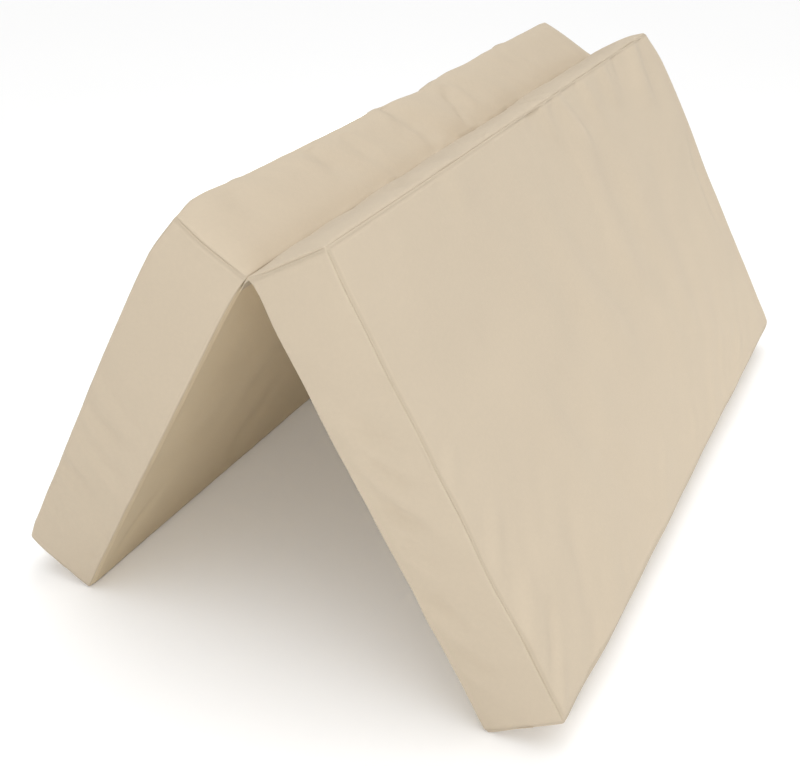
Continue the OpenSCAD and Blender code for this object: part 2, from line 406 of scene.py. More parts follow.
# Loose cloth between the folds, as patches of soft random ridges:
# (a, b, spread in a, spread in b, angle from a in degrees, length, width, height) in mm.
DRAPES = {
    ("right", "cover_outer_face"): [
        (200, 60, 260, 360, 15, 260, 56, 7.0), (40, 150, 90, 520, 12, 100, 30, 2.6),
        (640, 330, 130, 240, -50, 110, 18, 2.2), (590, -560, 170, 170, -36, 120, 27, 3.8),
        (430, 250, 260, 300, -18, 220, 54, 4.2), (420, -420, 220, 200, 20, 180, 46, 3.0),
    ],
    ("left", "cover_outer_face"): [
        (220, -40, 280, 420, -12, 260, 36, 7.0), (40, -100, 90, 560, -8, 100, 24, 3.2),
        (640, 420, 130, 220, 40, 110, 16, 2.4), (600, -540, 150, 190, -38, 120, 20, 3.4),
        (430, 180, 260, 340, 16, 200, 32, 4.6),
    ],
    ("right", "boxing_near_end"): [(400, 60, 260, 90, 38, 90, 17, 4.6)],
    ("left", "boxing_near_end"): [(480, 80, 230, 90, -70, 70, 15, 3.8)],
    ("right", "boxing_far_end"): [(330, 70, 300, 90, -36, 90, 16, 3.4)],
    ("left", "boxing_far_end"): [(360, 70, 300, 90, 40, 90, 16, 3.4)],
    ("left", "boxing_hinge_side"): [(0, 70, 560, 90, -62, 90, 20, 3.0)],
    ("right", "boxing_hinge_side"): [(0, 70, 560, 90, 66, 90, 20, 2.6)],
    ("right", "cover_inner_face"): [
        (360, 0, 300, 600, 12, 220, 38, 2.2), (640, 0, 90, 640, -30, 90, 16, 1.4),
    ],
    ("left", "cover_inner_face"): [
        (360, 0, 300, 600, -12, 220, 38, 2.2), (640, 0, 90, 640, 30, 90, 16, 1.4),
    ],
    ("right", "boxing_foot_outer"): [(0, 30, 640, 60, 70, 50, 15, 1.2)],
    ("left", "boxing_foot_outer"): [(0, 30, 640, 60, -70, 50, 15, 1.2)],
}
DRAPE_SCALE = 1.25


def fold_height(a, b, folds, size_a):
    """Height of the folds over a panel's points a and b, in mm. A fold fades where it ends inside."""
    height = np.zeros(a.shape)
    for a0, b0, a1, b1, width, rise in folds:
        width = width * FOLD_SPREAD
        along = np.array([a1 - a0, b1 - b0], float)
        length = np.hypot(*along)
        along /= length
        place = ((a - a0) * along[0] + (b - b0) * along[1]) / length
        off = (a - a0) * along[1] - (b - b0) * along[0]
        off = off - FOLD_ARC * length * np.sin(math.pi * np.clip(place, 0, 1))
        begins_at_seam = a0 < SEAM_REACH or a0 > size_a - SEAM_REACH
        fade_in = smoothstep(place / 0.06 + 1) if begins_at_seam else smoothstep(place / 0.35)
        fade_out = smoothstep((1 - place) / (0.5 if begins_at_seam else 0.35))
        widening = width * (1 + 0.5 * np.clip(place, 0, 1)) if begins_at_seam else width
        across = off / widening
        profile = np.exp(-(across**2)) - FOLD_HOLLOW * np.exp(-((across - 1.5) ** 2))
        height += rise * profile * fade_in * fade_out
    return FOLD_SCALE * height * MM


def drape_height(a, b, patches, seed):
    """Height of the loose cloth over a panel's points a and b, from values in mm."""
    height = np.zeros(a.shape)
    for k, (a0, b0, wide_a, wide_b, angle, length, width, rise) in enumerate(patches):
        inside = np.exp(-(((a - a0) / wide_a) ** 2 + ((b - b0) / wide_b) ** 2))
        height += rise * inside * streaks(a, b, angle, length, width, seed + k)
    return DRAPE_SCALE * height * MM


# --- panels ---
class Panel:
    """One panel of the cover: a grid of points on the block's sharp box."""

    def __init__(self, half, name, axis, end, a, b, borders, flat):
        self.half, self.name, self.axis, self.end = half, name, axis, end
        self.axis_a, self.axis_b = OTHER_AXES[axis]
        self.a, self.b = a, b
        self.borders = borders
        self.flat = flat
        self.points = np.zeros((len(a), len(b), 3))
        self.points[..., axis] = (half.low, half.high)[end][axis]
        self.points[..., self.axis_a] = a[:, None]
        self.points[..., self.axis_b] = b[None, :]

    def distances(self):
        """Each point's distance from the four borders: low a, high a, low b, high b."""
        a, b = self.a[:, None], self.b[None, :]
        whole = np.zeros((len(self.a), len(self.b)))
        return [a - self.a[0] + whole, self.a[-1] - a + whole, b - self.b[0] + whole, self.b[-1] - b + whole]


def bend_to_zip(panel, high):
    """Draws the foot strip's zip edge in to the zip line past the ends of the zip."""
    half = panel.half
    y = panel.points[..., Y]
    closing = 1 - smoothstep((ZIP_END - np.abs(y)) / ZIP_END_CURVE)
    edge = half.zip_high if high else half.zip_low
    far = half.high[N] if high else half.low[N]
    share = (panel.points[..., N] - far) / (edge - far)
    panel.points[..., N] += share * closing * (half.zip_middle - edge)


# Cloth turned in at every edge of a panel.
HEM, FOOT_HEM = 12 * MM, 8 * MM
STRIP_STEP = 6 * MM


def make_panels(half):
    """The seven panels of a half's cover, with the kind of seam at each of their borders."""
    low, high = half.low, half.high
    s, y, n = (graded(low[k], high[k]) for k in (S, Y, N))
    strip_out = graded(half.zip_high, high[N], near=ZIP_LINES, far=SEAM_LINES[:-1], step=STRIP_STEP)
    strip_in = graded(low[N], half.zip_low, near=SEAM_LINES[:-1], far=ZIP_LINES, step=STRIP_STEP)
    band, plain, zipped = "band", "plain", "zip"
    length, width, thick = high - low
    strip = high[N] - half.zip_high
    panels = [
        Panel(half, "cover_outer_face", N, 1, s, y, [band] * 4, (length, width)),
        Panel(half, "cover_inner_face", N, 0, s, y, [band] * 4, (length, width)),
        Panel(half, "boxing_near_end", Y, 0, s, n, [band, band, plain, plain], (thick, length)),
        Panel(half, "boxing_far_end", Y, 1, s, n, [band, band, plain, plain], (thick, length)),
        Panel(half, "boxing_hinge_side", S, 0, y, n, [plain] * 4, (thick, width)),
        Panel(half, "boxing_foot_outer", S, 1, y, strip_out, [plain, plain, zipped, plain], (strip, width)),
        Panel(half, "boxing_foot_inner", S, 1, y, strip_in, [plain, plain, plain, zipped], (strip, width)),
    ]
    for panel in panels:
        hem = FOOT_HEM if panel.name.startswith("boxing_foot") else HEM
        panel.flat = tuple(x + 2 * hem for x in panel.flat)
    bend_to_zip(panels[5], high=True)
    bend_to_zip(panels[6], high=False)
    return panels


def share_near(points, s, n, share, fade):
    """A share beside the edge at s and n, which grows to the whole over the fade's distance."""
    away = np.hypot(points[..., S] - s, points[..., N] - n)
    return share + (1 - share) * smoothstep(away / fade)


def seam_height(panel):
    """Height of the seam grooves, bands and rims, and how deep in a groove each point is."""
    profiles = {"band": BAND_SIDE, "plain": PLAIN_SIDE, "zip": ZIP_SIDE}
    sides = [
        np.interp(distance, *profiles[border], right=0)
        for distance, border in zip(panel.distances(), panel.borders)
    ]
    lowest, highest = np.min(sides, axis=0), np.max(sides, axis=0)
    height = np.where(lowest < 0, lowest, highest)
    low, high, points = panel.half.low, panel.half.high, panel.points
    ridge = share_near(points, low[S], high[N], RIDGE_SEAM_SHARE, RIDGE_SEAM_FADE)
    height = np.where(height < 0, height * ridge, height)
    depth = np.clip(-height / GROOVE_DEPTH, 0, SEAM_SHADE_LIMIT)
    return height * share_near(points, low[S], low[N], HINGE_SEAM_SHARE, HINGE_SEAM_FADE), depth


PUCKER_HEIGHT = 0.55 * MM
PUCKER_STEP, PUCKER_DRIFT_STEP = 17 * MM, 120 * MM
PUCKER_START, PUCKER_REACH = 5 * MM, 16 * MM


def pucker_height(panel, seed):
    """Small gathers in the fabric beside each seam, which fade within a few centimetres."""
    height = np.zeros((len(panel.a), len(panel.b)))
    for k, (distance, border) in enumerate(zip(panel.distances(), panel.borders)):
        if border == "zip":
            continue
        run = panel.b if k < 2 else panel.a
        rank = np.zeros(1)
        wave = smooth_noise(run, rank, PUCKER_STEP, 1, seed + k)[:, 0]
        slow = smooth_noise(run, rank, PUCKER_DRIFT_STEP, 1, seed + 10 + k)[:, 0]
        strength = PUCKER_HEIGHT * (0.5 + 0.5 * slow) * wave
        strength = strength[None, :] if k < 2 else strength[:, None]
        height += strength * np.exp(-distance / PUCKER_REACH) * (1 - np.exp(-distance / PUCKER_START))
    return height


ZIP_QUIET, ZIP_QUIET_FADE = 8 * MM, 22 * MM


def quiet_near_zip(panel, height):
    """Keeps a foot strip flat beside the zip, where the slider runs."""
    if not panel.name.startswith("boxing_foot"):
        return height
    distance = panel.distances()[2 if panel.borders[2] == "zip" else 3]
    return height * smoothstep((distance - ZIP_QUIET) / ZIP_QUIET_FADE)


def slack_of(panel, simulated):
    """The simulated swelling over this panel's own grid."""
    values, step_a, step_b = simulated[(panel.axis, panel.end)]
    low = panel.half.low
    first = spline_weights(panel.a - low[panel.axis_a], step_a, values.shape[0])
    second = spline_weights(panel.b - low[panel.axis_b], step_b, values.shape[1])
    return first @ values @ second.T


FOOT_SINK, FOOT_SINK_REACH = 3.6 * MM, 34 * MM
FLOOR_EASE = 0.3 * MM


def settle(half, world, points):
    """Lets the inner foot edge, which carries the half, sink on to the floor and flatten there."""
    reach = np.hypot(points[..., S] - half.high[S], points[..., N] - half.low[N])
    world = world.copy()
    world[..., 2] -= FOOT_SINK * np.exp(-((reach / FOOT_SINK_REACH) ** 2))
    world[..., 2] = (world[..., 2] + np.sqrt(world[..., 2] ** 2 + FLOOR_EASE**2)) / 2
    return world


# The inner faces meet when the halves fold together, so their loose cloth only lies inward.
INWARD_ONLY = ("cover_inner_face",)
INWARD_LIMIT = 0.5 * MM
LOOSE_TOP = 0.3 * MM
LOOSE_EASE = 0.9 * MM
# No fold goes so deep that it meets the foam.
LOOSE_BOTTOM = -6.8 * MM
BOTTOM_EASE = 1.2 * MM
# Loose cloth is drawn level towards every seam, from this far away.
SEAM_CALM = 9 * MM
# Faint unevenness all over: height in mm, and the distance between its values along a and b.
RIPPLES = ((0.35, 62, 74), (0.12, 24, 27))
TAPE_COVER = 22 * MM
TAPE_GAP = 0.02 * MM


def loose_height(panel, simulated, seed):
    """Height of the loose cloth over a panel: the simulated slack, folds, drapes and gathers."""
    half = panel.half
    shift = half.low / MM * np.array([1, 0, 1])
    a, b = (panel.points[..., k] / MM - shift[k] for k in (panel.axis_a, panel.axis_b))
    loose = slack_of(panel, simulated)
    for k, (height, step_a, step_b) in enumerate(RIPPLES):
        loose += height * MM * smooth_noise(panel.a, panel.b, step_a * MM, step_b * MM, seed + 30 + k)
    loose += fold_height(a, b, FOLDS.get((half.side, panel.name), []), np.ptp(panel.a) / MM)
    loose += drape_height(a, b, DRAPES.get((half.side, panel.name), []), seed + 50)
    loose += pucker_height(panel, seed)
    loose *= smoothstep(np.min(panel.distances(), axis=0) / SEAM_CALM)
    if panel.name in INWARD_ONLY:
        loose = LOOSE_TOP - LOOSE_EASE * np.logaddexp(0, (LOOSE_TOP - loose) / LOOSE_EASE)
    return LOOSE_BOTTOM + BOTTOM_EASE * np.logaddexp(0, (loose - LOOSE_BOTTOM) / BOTTOM_EASE)


def shape_panel(panel, simulated, seed):
    """Works out the panel's outside and inside surfaces in the world."""
    half = panel.half
    base, facing = rounded(half, panel.points)
    fullness = HINGE_SIDE_FULLNESS if panel.name == "boxing_hinge_side" else CROWN_FULLNESS
    swell = crown(panel.a, panel.b, CROWNS[panel.name], fullness)
    loose = loose_height(panel, simulated, seed)
    groove, panel.depth = seam_height(panel)
    height = quiet_near_zip(panel, swell + loose) + groove
    outside = base + drift(half, panel.points) + facing * height[..., None]
    if panel.name in INWARD_ONLY:
        lowest = half.low[panel.axis] - INWARD_LIMIT
        outside[..., panel.axis] = np.maximum(outside[..., panel.axis], lowest)
    inside = outside - facing * FABRIC
    if panel.name.startswith("boxing_foot"):
        near_zip = np.abs(panel.points[..., N] - half.zip_middle) < TAPE_COVER
        rest = np.maximum(inside[..., S], half.tape_surface + TAPE_GAP)
        inside[..., S] = np.where(near_zip, rest, inside[..., S])
    panel.outside = settle(half, half.to_world(outside), panel.points)
    panel.inside = panel.outside + half.turn(inside - outside)
    panel.facing = half.turn(facing)
    panel.weave = panel.points[..., [panel.axis_a, panel.axis_b]]


# --- meshes ---
def place_object(name, data, location=(0, 0, 0), along=None, track="-Z"):
    """Adds an object to the scene, and can turn it so that its track axis points along a vector."""
    obj = bpy.data.objects.new(name, data)
    bpy.context.scene.collection.objects.link(obj)
    obj.location = location
    if along is not None:
        obj.rotation_mode = "QUATERNION"
        obj.rotation_quaternion = Vector(along).to_track_quat(track, "Y")
    return obj


def make_object(name, vertices, faces, smooth=True, sharp=50):
    mesh = bpy.data.meshes.new(name)
    mesh.from_pydata([tuple(v) for v in np.asarray(vertices, float)], [], [tuple(f) for f in faces])
    mesh.update()
    if smooth:
        mesh.shade_smooth()
        mesh.set_sharp_from_angle(angle=math.radians(sharp))
    return place_object(name, mesh)


def store_cloth(obj, places, depths):
    """Keeps each point's place in the weave and its depth in a seam, which the cloth material turns into painted
    shade.
    """
    weave = np.zeros((len(places), 3), np.float32)
    weave[:, :2] = places
    layer = obj.data.attributes.new("weave", "FLOAT_VECTOR", "POINT")
    layer.data.foreach_set("vector", weave.ravel())
    layer = obj.data.attributes.new("seam", "FLOAT", "POINT")
    layer.data.foreach_set("value", np.asarray(depths, np.float32))


def grid_faces(rows, columns, start=0, flip=False):
    index = start + np.arange(rows * columns).reshape(rows, columns)
    quads = np.stack([index[:-1, :-1], index[1:, :-1], index[1:, 1:], index[:-1, 1:]], axis=-1).reshape(-1, 4)
    return quads[:, ::-1] if flip else quads


def ring_faces(rings, sides, flip=False):
    """Faces between closed rings of points, one ring after another."""
    index = np.arange(rings * sides).reshape(rings, sides)
    after = np.roll(index, -1, axis=1)
    quads = np.stack([index[:-1], after[:-1], after[1:], index[1:]], axis=-1).reshape(-1, 4)
    return [tuple(quad) for quad in (quads[:, [0, 3, 2, 1]] if flip else quads)]


def shell_faces(rows, columns, flip):
    """Faces of a closed shell: an outside grid, then an inside grid, and the walls between them."""
    count = rows * columns
    faces = [grid_faces(rows, columns, 0, flip), grid_faces(rows, columns, count, not flip)]
    index = np.arange(count).reshape(rows, columns)
    ring = np.concatenate([index[:, 0], index[-1, 1:], index[-2::-1, -1], index[0, -2:0:-1]])
    after = np.roll(ring, -1)
    walls = np.stack([after, ring, ring + count, after + count], axis=-1)
    faces.append(walls[:, ::-1] if flip else walls)
    return np.concatenate(faces)


def shell_object(name, outside, inside, flip, weave, depths):
    """A thin closed shell of cloth between an outside and an inside grid of points."""
    vertices = np.concatenate([outside.reshape(-1, 3), inside.reshape(-1, 3)])
    obj = make_object(name, vertices, shell_faces(*outside.shape[:2], flip))
    store_cloth(obj, np.tile(weave.reshape(-1, 2), (2, 1)), np.tile(np.ravel(depths), 2))
    return obj


def panel_object(panel):
    flip = (panel.axis == Y) != (panel.end == 0) != (panel.half.sign < 0)
    name = f"fabric_{panel.name}_{panel.half.side}"
    return shell_object(name, panel.outside, panel.inside, flip, panel.weave, panel.depth)


# --- cloth simulation of a half's cover ---
def block_grid(low, high, counts):
    """An even grid over a block: its points, its faces, and the point numbers of each side."""
    lines = [np.linspace(low[k], high[k], counts[k]) for k in (S, Y, N)]
    number, faces, sides = {}, [], {}
    for axis, (first, second) in OTHER_AXES.items():
        for end in (0, 1):
            index = np.zeros((counts[first], counts[second]), int)
            for i, j in np.ndindex(index.shape):
                key = [0, 0, 0]
                key[axis], key[first], key[second] = end * (counts[axis] - 1), i, j
                index[i, j] = number.setdefault(tuple(key), len(number))
            faces.append(index.ravel()[grid_faces(*index.shape, flip=(axis == Y) != (end == 0))])
            sides[(axis, end)] = index
    points = np.array([[lines[k][key[k]] for k in (S, Y, N)] for key in number])
    return points, np.concatenate(faces), sides


def smoothed(values):
    """A field with the ripple of its own grid taken out."""
    for _ in range(2):
        for axis in (0, 1):
            padded = np.concatenate([values.take([0], axis), values, values.take([-1], axis)], axis)
            size = values.shape[axis]
            before, middle, after = (padded.take(range(k, k + size), axis) for k in (0, 1, 2))
            values = (before + 2 * middle + after) / 4
    return values


# How firmly the foam holds the cover between its seams, and how much more beside them.
HOLD_BETWEEN, HOLD_BESIDE, HOLD_REACH = 0.12, 0.2, 30 * MM


def hold_weights(half, points):
    """How firmly the foam holds each point of the cover: fully at the seams, lightly between."""
    inset = np.sort(np.minimum(points - half.low, half.high - points), axis=1)[:, 1]
    return np.where(inset < 1 * MM, 1.0, HOLD_BETWEEN + HOLD_BESIDE * np.exp(-inset / HOLD_REACH))


def run_cloth(name, start, faces, weights):
    """Where the points of a cloth end up after the simulation, which leaves nothing behind."""
    obj = make_object(name, start, faces, smooth=False)
    group = obj.vertex_groups.new(name="held")
    for index, weight in enumerate(weights):
        group.add([index], float(weight), "REPLACE")
    cloth = obj.modifiers.new("cloth", "CLOTH")
    for setting, value in CLOTH.items():
        setattr(cloth.settings, setting, value)
    cloth.settings.vertex_group_mass = group.name
    cloth.settings.effector_weights.gravity = 0
    cloth.point_cache.frame_start, cloth.point_cache.frame_end = 1, SIM_FRAMES
    scene = bpy.context.scene
    for number in range(1, SIM_FRAMES + 1):
        scene.frame_set(number)
    shown = obj.evaluated_get(bpy.context.evaluated_depsgraph_get())
    found = np.zeros(len(start) * 3, np.float32)
    shown.data.vertices.foreach_get("co", found)
    scene.frame_set(1)
    mesh = obj.data
    bpy.data.objects.remove(obj)
    bpy.data.meshes.remove(mesh)
    return found.reshape(-1, 3)


def simulate_cover(half, seed):
    """Swells a slack cover on its foam by cloth simulation, and returns each side's swelling."""
    size = half.high - half.low
    counts = [max(2, round(length / SIM_STEP)) + 1 for length in size]
    points, faces, sides = block_grid(half.low, half.high, counts)
    steps = size / (np.array(counts) - 1)
    base, facing = rounded(half, points)
    noise = np.random.RandomState(seed).uniform(-SIM_START_NOISE, SIM_START_NOISE, (len(points), 1))
    start = base - facing * SIM_START_DEPTH + facing * noise * MM
    swelling = np.zeros(len(points))
    found = run_cloth(f"cloth_sim_{half.side}", start, faces, hold_weights(half, points))
    swelling = np.einsum("ij,ij->i", found - base, facing)
    capped = SIM_CAP * np.tanh(SIM_SHARE * swelling / SIM_CAP)
    fields = {}
    for (axis, end), index in sides.items():
        first, second = OTHER_AXES[axis]
        fields[(axis, end)] = smoothed(capped[index]), steps[first], steps[second]
    return fields


# --- stitches ---
def line_on(panel, border, distance):
    """The points and facing directions along a line that runs beside one of the panel's borders."""
    steps = panel.distances()[border]
    if border < 2:
        row = int(np.argmin(np.abs(steps[:, 0] - distance)))
        return panel.outside[row], panel.facing[row]
    row = int(np.argmin(np.abs(steps[0] - distance)))
    return panel.outside[:, row], panel.facing[:, row]


def stitch_places(points, facing, inset):
    """Middle, direction and facing of each stitch along a line."""
    lengths = np.concatenate([[0], np.cumsum(np.linalg.norm(np.diff(points, axis=0), axis=1))])
    at = np.arange(inset, lengths[-1] - inset, STITCH_PITCH)
    middle, before, after = (
        np.stack([np.interp(at + d, lengths, points[:, k]) for k in range(3)], axis=1) for d in (0, -MM, MM)
    )
    up = np.stack([np.interp(at, lengths, facing[:, k]) for k in range(3)], axis=1)
    along = after - before
    along /= np.linalg.norm(along, axis=1, keepdims=True)
    up -= along * np.sum(up * along, axis=1, keepdims=True)
    up /= np.linalg.norm(up, axis=1, keepdims=True)
    return middle, along, up


def stitches_object(name, rows):
    """Thread stitches as small spindles that dip into the cloth at both ends."""
    middle, along, up = (np.concatenate(part) for part in zip(*rows))
    aside = np.cross(along, up)
    ends = [middle + along * STITCH_LENGTH * k - up * STITCH_RADIUS * STITCH_DIP for k in (-0.5, 0.5)]
    vertices = ends[:1]
    for place in (-STITCH_SHOULDER, STITCH_SHOULDER):
        centre = middle + along * STITCH_LENGTH * place + up * STITCH_RADIUS * STITCH_RISE
        for turn in STITCH_TURNS:
            angle = turn * math.pi
            vertices.append(centre + STITCH_RADIUS * (aside * math.cos(angle) + up * math.sin(angle)))
    vertices.append(ends[1])
    ring = [(k, (k + 1) % 4) for k in range(4)]
    faces = [(0, 1 + b, 1 + a) for a, b in ring] + [(9, 5 + a, 5 + b) for a, b in ring]
    faces += [(1 + a, 1 + b, 5 + b, 5 + a) for a, b in ring]
    stacked = np.stack(vertices, axis=1).reshape(-1, 3)
    count = len(middle)
    every = [tuple(10 * k + v for v in face) for k in range(count) for face in faces]
    return make_object(name, stacked, every, sharp=80)


def cover_stitches(half, panels):
    rows = []
    for panel in panels:
        for border, kind in enumerate(panel.borders):
            if kind == "plain":
                continue
            distance = ZIP_STITCH_LINE if kind == "zip" else STITCH_LINE
            rows.append(stitch_places(*line_on(panel, border, distance), inset=STITCH_INSET))
    return stitches_object(f"cover_stitches_{half.side}", rows)


# --- foam ---
FOAM_RADIUS = 13 * MM
FOAM_INSET = 9.0 * MM
FOAM_STEP = 16 * MM
FOAM_CROWNS = {
    (N, 1): "cover_outer_face", (N, 0): "cover_inner_face",
    (Y, 0): "boxing_near_end", (Y, 1): "boxing_far_end",
}


def foam_object(half):
    """The foam block under the cover, with the cover's crown and pressed corners."""
    low, high = half.node_box(f"foam_core_{half.side}")
    size = high - low
    counts = [max(6, round(length / FOAM_STEP)) + 1 for length in size]
    points, faces, sides = block_grid(low, high, counts)
    heights = np.zeros((len(points), 1))
    for place, panel in FOAM_CROWNS.items():
        lines = [np.linspace(0, size[k], counts[k]) for k in OTHER_AXES[place[0]]]
        heights[sides[place], 0] = crown(*lines, CROWNS[panel])
    core = np.clip(points, low + FOAM_RADIUS, high - FOAM_RADIUS)
    away = points - core
    facing = away / np.linalg.norm(away, axis=1, keepdims=True)
    shape = core + facing * (FOAM_RADIUS + heights - FOAM_INSET)
    world = settle(half, half.to_world(shape + drift(half, points)), points)
    return make_object(f"foam_block_{half.side}", world, faces if half.sign > 0 else faces[:, ::-1])


# --- zip ---
COIL_PITCH = 2.0 * MM
COIL_WIRE = 0.36 * MM
COIL_TURN_POINTS = 8
COIL_SIDES = 4


def tube(points, radius, sides):
    """Vertices and faces of a closed tube along points."""
    along = np.gradient(points, axis=0)
    along /= np.linalg.norm(along, axis=1, keepdims=True)
    first = np.cross(along, [0.0, 1.0, 0.0])
    first /= np.linalg.norm(first, axis=1, keepdims=True)
    second = np.cross(along, first)
    angles = [2 * math.pi * k / sides for k in range(sides)]
    rings = [points + radius * (first * math.cos(angle) + second * math.sin(angle)) for angle in angles]
    vertices = np.stack(rings, axis=1).reshape(-1, 3)
    ends = [tuple(range(sides))[::-1], tuple(range(len(vertices) - sides, len(vertices)))]
    return vertices, ring_faces(len(points), sides) + ends


def coil_object(half):
    """The closed nylon coil: two flattened helixes whose turns lie between each other's."""
    low, high = half.node_box(f"zip_coil_{half.side}")
    middle = (low + high) / 2
    tall = (high[S] - low[S]) / 2 - COIL_WIRE
    wide = (high[N] - low[N]) / 3 - COIL_WIRE
    turns = int((high[Y] - low[Y] - 4 * COIL_WIRE) / COIL_PITCH)
    t = np.arange(turns * COIL_TURN_POINTS + 1) / COIL_TURN_POINTS
    vertices, faces = [], []
    for across in (-1, 1):
        angle = 2 * math.pi * t
        s = middle[S] + tall * np.sin(angle)
        n = middle[N] + across * ((high[N] - low[N]) / 6 - wide * np.cos(angle))
        shift = 0.25 if across > 0 else -0.25
        y = low[Y] + 2 * COIL_WIRE + COIL_PITCH * (t + 0.25 + shift)
        local = np.stack([s, np.clip(y, low[Y] + COIL_WIRE, high[Y] - COIL_WIRE), n], axis=1)
        part, quads = tube(half.to_world(local), COIL_WIRE, COIL_SIDES)
        start = sum(len(p) for p in vertices)
        faces += [tuple(start + v for v in q) for q in quads]
        vertices.append(part)
    return make_object(f"coil_{half.side}", np.concatenate(vertices), faces, sharp=100)


# Past the zip's stops the two tapes come together over this length.
TAPE_CLOSING = 9 * MM
TAPE_END_GAP, TAPE_POINTS = 1 * MM, 260
TAPE_RIB, TAPE_RIB_PITCH = 0.02 * MM, 1.7 * MM
# A zip tape's cross-section: share of its width from the coil's edge, and height.
TAPE_PROFILE = np.array([0, 0.4, 0.9, 1.5, 2.2, 3.0, 5.0, 8.0, 11.0, 12.6, 13.4, 14.0]) / 14
TAPE_RELIEF = np.array([-0.25, -0.05, 0, 0, -0.15, -0.2, -0.2, -0.2, -0.2, -0.2, -0.25, -0.45]) * MM


def tape_object(half, name):
    """One woven zip tape, with a raised bead along the edge that carries the coil."""
    low, high = half.node_box(f"zip_tape_{name}_{half.side}")
    y = np.linspace(low[Y] + TAPE_END_GAP, high[Y] - TAPE_END_GAP, TAPE_POINTS)
    outer = name == "outer"
    edge, far = (low[N], high[N]) if outer else (high[N], low[N])
    n = edge + (far - edge) * TAPE_PROFILE
    zip_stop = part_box(f"zip_stops_closed_end_{half.side}")[1].y
    drawn_in = (half.zip_middle - edge) * smoothstep((np.abs(y) - zip_stop) / TAPE_CLOSING)
    outside = np.zeros((len(y), len(n), 3))
    outside[..., S] = high[S] + TAPE_RELIEF[None, :] + TAPE_RIB * np.sin(y / TAPE_RIB_PITCH)[:, None]
    outside[..., Y], outside[..., N] = y[:, None], n[None, :] + drawn_in[:, None]
    inside = outside.copy()
    inside[..., S] = low[S]
    weave = np.stack(np.meshgrid(y, n, indexing="ij"), axis=-1)
    return shell_object(
        f"woven_tape_{name}_{half.side}", half.to_world(outside), half.to_world(inside),
        (not outer) != (half.sign < 0), weave, np.zeros(weave.shape[:2]),
    )


def rounded_copy(node, name, width):
    """The CAD node's shape with its edges rounded, for a small moulded or cast part."""
    obj = place_object(name, frame["nodes"][node].data.copy())
    weld = obj.modifiers.new("weld", "WELD")
    weld.merge_threshold = 0.01 * MM
    bevel = obj.modifiers.new("bevel", "BEVEL")
    bevel.width, bevel.segments, bevel.limit_method = width, 3, "ANGLE"
    bevel.angle_limit = math.radians(35)
    shown = obj.evaluated_get(bpy.context.evaluated_depsgraph_get())
    final = bpy.data.meshes.new_from_object(shown)
    obj.modifiers.clear()
    obj.data = final
    final.shade_smooth()
    final.set_sharp_from_angle(angle=math.radians(40))
    return obj


# --- hinge tape ---
# Half of the hinge tape's cross-section in a half's own frame, (s, n) in mm: from the middle of its
# underside, down the inner face and back, and round the block's edge to the hinge side.
TAPE_UNDER = [(13.0, 0.35), (25.0, 0.45), (25.2, 0.9), (25.0, 1.42), (8.0, 1.4), (3.2, 1.42), (2.0, 1.5)]
TAPE_OVER = [(1.7, 1.7), (1.5, 2.1), (1.3, 2.1), (1.2, 1.7)]
TAPE_LOW, TAPE_TOP = -5.0 * MM, -1.0 * MM
# How far the tape's ends lie behind the leaning end panels.
TAPE_RECESS = 2.5 * MM
# Painted shade darkens the tape along its middle, between the halves.
TAPE_SHADE, TAPE_SHADE_REACH = 0.4, 12 * MM
HINGE_STITCH_ROWS = (21.5 * MM, 15.0 * MM)
HINGE_STITCH_POINTS = 300
HINGE_STITCH_GAP, HINGE_STITCH_INSET, HINGE_STITCH_HEIGHT = 3 * MM, 2 * MM, 0.42 * MM


def tape_ends(half):
    near, far = END_LEAN
    return half.low[Y] + near + TAPE_RECESS, half.high[Y] + far - TAPE_RECESS


def hinge_tape_object(halves):
    """The fabric hinge: a tape sewn to both inner faces and tucked between the halves' edges."""
    right = halves["right"]
    local = np.array([[s * MM, 0, n * MM] for s, n in TAPE_UNDER + TAPE_OVER])
    points = right.to_world(local) - right.hinge
    right_side = [(x, z) for x, _, z in points]
    left_side = [(-x, z) for x, z in reversed(right_side)]
    ring = np.array([(0.0, TAPE_LOW)] + right_side + [(0.0, TAPE_TOP)] + left_side)
    low, high = tape_ends(right)
    y = graded(low, high, near=SEAM_LINES[:6], far=SEAM_LINES[:6], step=9 * MM)
    count = len(ring)
    vertices = np.zeros((len(y), count, 3))
    vertices[..., 0], vertices[..., 1] = ring[None, :, 0], y[:, None]
    ripple = smooth_noise(y, np.arange(count) * 4 * MM, 40 * MM, 12 * MM, 77)
    vertices[..., 2] = ring[None, :, 1] + right.hinge[2] - 0.12 * MM * np.abs(ripple)
    ends = [tuple(range(count)), tuple(range((len(y) - 1) * count, len(y) * count))[::-1]]
    faces = ring_faces(len(y), count, flip=True) + ends
    obj = make_object("hinge_fabric", vertices.reshape(-1, 3), faces, sharp=60)
    run = np.concatenate([[0], np.cumsum(np.linalg.norm(np.diff(ring, axis=0), axis=1))])
    weave = np.stack(np.meshgrid(y, run, indexing="ij"), axis=-1)
    shaded = np.clip(TAPE_SHADE - np.abs(ring[:, 0]) / TAPE_SHADE_REACH, 0, 1)
    store_cloth(obj, weave.reshape(-1, 2), np.tile(shaded, len(y)))
    return obj


def hinge_stitches(half):
    """Two rows of stitches that hold the hinge tape to the inner face."""
    low, high = tape_ends(half)
    y = np.linspace(low + HINGE_STITCH_GAP, high - HINGE_STITCH_GAP, HINGE_STITCH_POINTS)
    facing = np.tile(-half.out, (len(y), 1))
    rows = []
    for s in HINGE_STITCH_ROWS:
        local = np.stack([np.full(len(y), s), y, np.full(len(y), HINGE_STITCH_HEIGHT)], axis=1)
        rows.append(stitch_places(half.to_world(local), facing, HINGE_STITCH_INSET))
    return stitches_object(f"hinge_stitches_{half.side}", rows)


